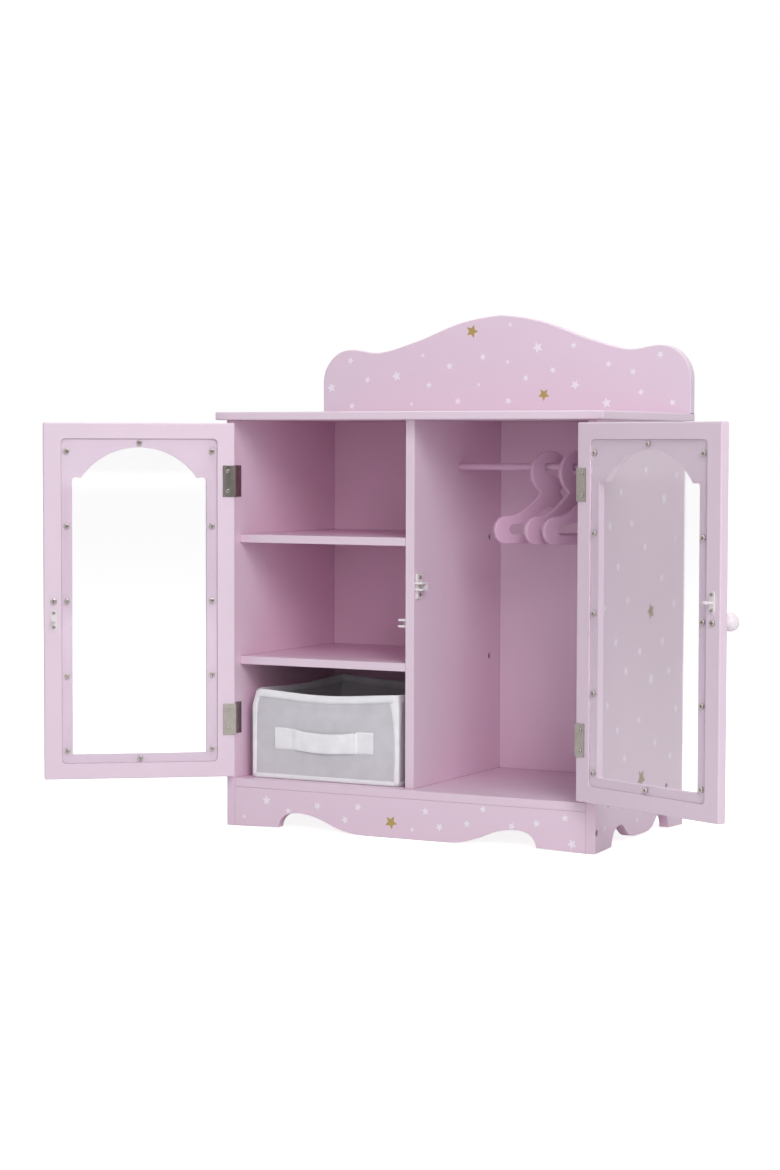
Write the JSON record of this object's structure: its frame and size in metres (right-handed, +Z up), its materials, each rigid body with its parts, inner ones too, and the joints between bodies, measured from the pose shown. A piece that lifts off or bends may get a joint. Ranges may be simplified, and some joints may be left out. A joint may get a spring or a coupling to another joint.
{
  "type": "doll closet",
  "caption": "Free-standing doll closet with arched glazed doors on hinges, shelves, a hanging rail with hangers, a sliding fabric bin and a shaped crown.",
  "frame": {"origin": "on the floor, at the front plane, half way between the sides, under the middle of the front apron", "axes": "+X to the right seen from the front, +Y to the back, +Z up"},
  "size_m": [0.8006, 0.3967, 0.578],
  "materials": {
    "painted_wood": "satin lilac-pink paint on fibreboard",
    "bare_wood": "bare hardwood",
    "screw_steel": "plated steel screws",
    "hinge_steel": "nickel-plated pressed steel",
    "white_plastic": "moulded white plastic",
    "clear_sheet": "clear plastic sheet",
    "grey_fabric": "light grey non-woven cloth",
    "white_tape": "white non-woven binding tape",
    "board_insert": "covered stiffening board"
  },
  "bodies": {
    "case": {"left_side_panel": "painted_wood", "right_side_panel": "painted_wood", "bottom_board": "painted_wood", "top_board": "painted_wood", "front_apron": "painted_wood", "back_panel": "painted_wood", "divider": "painted_wood", "lower_shelf": "painted_wood", "upper_shelf": "painted_wood", "crown_panel": "painted_wood", "hanging_rail": "painted_wood", "crown_screws": "screw_steel", "case_screws": "screw_steel", "shelf_screws": "screw_steel", "case_dowels": "bare_wood", "hinge_case_screws": "screw_steel", "catch_screws": "screw_steel", "left_catch": "white_plastic", "right_catch": "white_plastic", "left_lower_fixed_leaf": "hinge_steel", "left_lower_hinge_pin": "hinge_steel", "left_upper_fixed_leaf": "hinge_steel", "left_upper_hinge_pin": "hinge_steel", "right_lower_fixed_leaf": "hinge_steel", "right_lower_hinge_pin": "hinge_steel", "right_upper_fixed_leaf": "hinge_steel", "right_upper_hinge_pin": "hinge_steel"},
    "left_door": {"left_door_panel": "painted_wood", "left_door_pane": "clear_sheet", "left_pane_screws": "screw_steel", "left_lower_door_leaf": "hinge_steel", "left_upper_door_leaf": "hinge_steel", "left_door_hinge_screws": "screw_steel", "left_door_knob": "painted_wood", "left_knob_screw": "screw_steel", "left_door_strike": "white_plastic", "left_strike_screws": "screw_steel"},
    "right_door": {"right_door_panel": "painted_wood", "right_door_pane": "clear_sheet", "right_pane_screws": "screw_steel", "right_lower_door_leaf": "hinge_steel", "right_upper_door_leaf": "hinge_steel", "right_door_hinge_screws": "screw_steel", "right_door_knob": "painted_wood", "right_knob_screw": "screw_steel", "right_door_strike": "white_plastic", "right_strike_screws": "screw_steel"},
    "bin": {"bin_shell": "grey_fabric", "bin_binding": "white_tape", "bin_board": "board_insert", "bin_handle": "white_tape"},
    "hanger_1": {"hanger_1": "painted_wood"},
    "hanger_2": {"hanger_2": "painted_wood"},
    "hanger_3": {"hanger_3": "painted_wood"}
  },
  "joints": [
    {"name": "left_door_hinge", "type": "hinge", "parent": "case", "child": "left_door", "pos_m": [-0.2132, -0.0022, 0.25425], "axis": [0, 0, -1], "range_deg": [-143, 32]},
    {"name": "right_door_hinge", "type": "hinge", "parent": "case", "child": "right_door", "pos_m": [0.2132, -0.0022, 0.25425], "axis": [0, 0, 1], "range_deg": [-155, 20]},
    {"name": "bin_slide", "type": "slide", "parent": "case", "child": "bin", "axis": [0, -1, 0], "range_m": [0, 0.12]},
    {"name": "hanger_1_swing", "type": "hinge", "parent": "case", "child": "hanger_1", "pos_m": [0.1145, 0.124, 0.404], "axis": [1, 0, 0], "range_deg": [-12, 12]},
    {"name": "hanger_2_swing", "type": "hinge", "parent": "case", "child": "hanger_2", "pos_m": [0.1475, 0.124, 0.404], "axis": [1, 0, 0], "range_deg": [-12, 12]},
    {"name": "hanger_3_swing", "type": "hinge", "parent": "case", "child": "hanger_3", "pos_m": [0.1705, 0.124, 0.404], "axis": [1, 0, 0], "range_deg": [-12, 12]}
  ]
}
